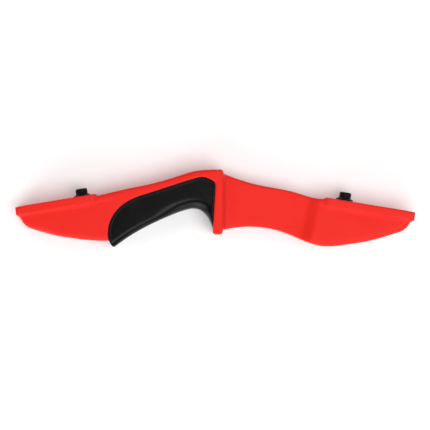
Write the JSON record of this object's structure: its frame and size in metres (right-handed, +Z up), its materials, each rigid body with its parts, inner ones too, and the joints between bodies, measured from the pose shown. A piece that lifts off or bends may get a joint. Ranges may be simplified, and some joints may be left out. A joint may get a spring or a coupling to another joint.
{
  "type": "recurve bow riser",
  "caption": "Take-down recurve bow riser: a moulded handle with a rubber grip, an arrow shelf, a window each side, and a pocket at each end that clamps a limb's butt under a bolt and washer.",
  "frame": {"origin": "under the middle of the riser, on the surface it lies on: the middle of its box in X and Y, and its lowest plane in Z", "axes": "+X along the riser towards the upper limb, +Y towards the target (the back of the bow), +Z up, through the left flank"},
  "size_m": [0.4998, 0.0968, 0.046],
  "materials": {
    "moulding": "satin moulded, bright red",
    "grip": "smooth, satin black",
    "bolt": "black oxide steel",
    "washer": "black oxide steel",
    "insert": "machined"
  },
  "bodies": {
    "riser": {"riser_body": "moulding", "grip": "grip", "lower_insert": "insert", "upper_insert": "insert"},
    "lower_washer": {"lower_washer": "washer"},
    "lower_bolt": {"lower_limb_bolt": "bolt"},
    "upper_washer": {"upper_washer": "washer"},
    "upper_bolt": {"upper_limb_bolt": "bolt"}
  },
  "joints": [
    {"name": "lower_bolt_travel", "type": "slide", "parent": "riser", "child": "lower_washer", "axis": [-0.1607, 0.987, 0], "range_m": [0, 0.014]},
    {"name": "lower_bolt_turn", "type": "hinge", "parent": "lower_washer", "child": "lower_bolt", "pos_m": [-0.1667, 0.0152, 0.023], "axis": [-0.1607, 0.987, 0], "range_deg": [0, 3360]},
    {"name": "upper_bolt_travel", "type": "slide", "parent": "riser", "child": "upper_washer", "axis": [0.1607, 0.987, 0], "range_m": [0, 0.014]},
    {"name": "upper_bolt_turn", "type": "hinge", "parent": "upper_washer", "child": "upper_bolt", "pos_m": [0.1619, 0.0096, 0.023], "axis": [0.1607, 0.987, 0], "range_deg": [0, 3360]}
  ],
  "couplings": [
    {"joint": "lower_bolt_turn", "follows": "lower_bolt_travel", "rad_per_m": 4188.8},
    {"joint": "upper_bolt_turn", "follows": "upper_bolt_travel", "rad_per_m": 4188.8}
  ]
}
